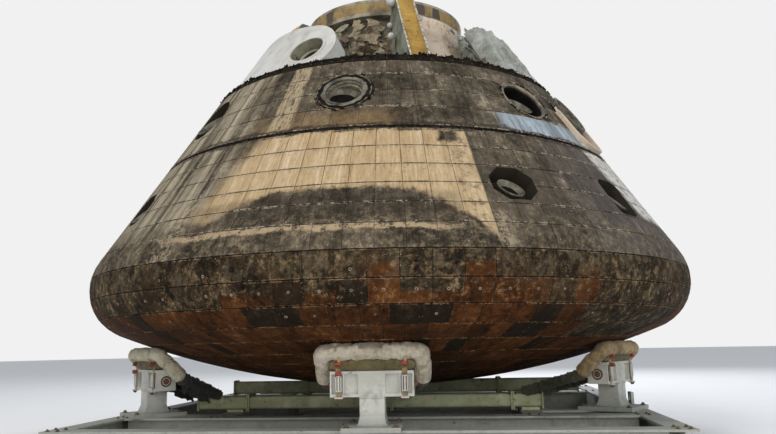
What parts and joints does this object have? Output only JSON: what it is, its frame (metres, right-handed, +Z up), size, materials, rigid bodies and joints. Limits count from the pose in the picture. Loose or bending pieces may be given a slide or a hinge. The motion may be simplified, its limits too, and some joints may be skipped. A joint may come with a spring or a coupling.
{
  "type": "space capsule on a recovery cradle",
  "caption": "Blunt conical crew capsule, scorched by re-entry, resting on a steel recovery cradle with padded posts; side hatch and docking hatch open.",
  "frame": {"origin": "on the ground, under the capsule's axis, at the middle of its footprint", "axes": "+Z up along the capsule's axis, -Y towards the side the picture shows, +X to the right of it"},
  "size_m": [5.0297, 5.0298, 3.712],
  "materials": {
    "heat_shield_tiles": "charred ablator tiles, rust brown",
    "cone_tiles": "scorched silica tiles, tan to char",
    "charred_ring": "charred black",
    "seam_filler": "dark gap filler",
    "window_glass": "dark glass",
    "bare_metal": "dull machined metal",
    "nozzle_metal": "heat-stained metal",
    "seat_paint": "satin grey",
    "cabin_paint": "satin off-white",
    "bay_metal": "grey-green primer, worn",
    "ring_metal": "off-white with tan segments, scorched",
    "gusset_primer": "yellow primer",
    "white_cover": "dirty white paint",
    "pale_panel": "pinkish beige, smoke-stained",
    "pad_fabric": "grey-beige padded canvas",
    "wrapped_fabric": "dark olive wrapping",
    "green_paint": "light green paint",
    "cradle_paint": "pale grey paint, worn"
  },
  "bodies": {
    "capsule": {"heat_shield": "heat_shield_tiles", "lower_panel_1": "cone_tiles", "lower_panel_2": "cone_tiles", "lower_panel_3": "cone_tiles", "lower_panel_4": "cone_tiles", "lower_panel_5": "cone_tiles", "lower_panel_6": "cone_tiles", "lower_panel_7": "cone_tiles", "lower_panel_8": "cone_tiles", "upper_panel_1": "cone_tiles", "upper_panel_2": "cone_tiles", "upper_panel_3": "cone_tiles", "upper_panel_4": "cone_tiles", "upper_panel_5": "cone_tiles", "upper_panel_6": "cone_tiles", "upper_panel_7": "cone_tiles", "upper_panel_8": "cone_tiles", "splice_ring": "seam_filler", "top_ring": "charred_ring", "hatch_frame": "cone_tiles", "hatch_hinge_eyes": "bare_metal", "window_frames": "bare_metal", "window_panes": "window_glass", "thruster_nozzles": "nozzle_metal", "thruster_flange": "nozzle_metal", "vent_collar": "nozzle_metal", "seat_shells": "seat_paint", "seat_stands": "bare_metal", "cabin_floor": "cabin_paint", "forward_deck": "bay_metal", "docking_tunnel": "bay_metal", "docking_ring": "ring_metal", "docking_hinge_eyes": "bare_metal", "gussets": "gusset_primer", "port_cover": "white_cover", "bay_panels": "pale_panel", "mortar_tubes": "bay_metal", "cradle_side_beams": "cradle_paint", "cradle_end_beams": "cradle_paint", "cradle_inner_beams": "cradle_paint", "cradle_cross_beams": "cradle_paint", "cradle_posts": "cradle_paint", "cradle_heads": "cradle_paint", "pad_saddles": "green_paint", "head_pads": "pad_fabric", "pad_arms": "wrapped_fabric", "cross_tubes": "green_paint", "tie_down_lugs": "cradle_paint"},
    "side_hatch": {"side_hatch": "cone_tiles", "hatch_pane": "window_glass", "hatch_hinge_arms": "bare_metal"},
    "docking_hatch": {"docking_hatch": "ring_metal", "docking_hinge_arms": "bare_metal"}
  },
  "joints": [
    {"name": "side_hatch_hinge", "type": "hinge", "parent": "capsule", "child": "side_hatch", "pos_m": [0.77991, 2.0665, 1.87467], "axis": [0.072, 0.5325, -0.8434], "range_deg": [0, 110]},
    {"name": "docking_hatch_hinge", "type": "hinge", "parent": "capsule", "child": "docking_hatch", "pos_m": [0, 0.47, 3.69], "axis": [-1, 0, 0], "range_deg": [0, 100]}
  ]
}
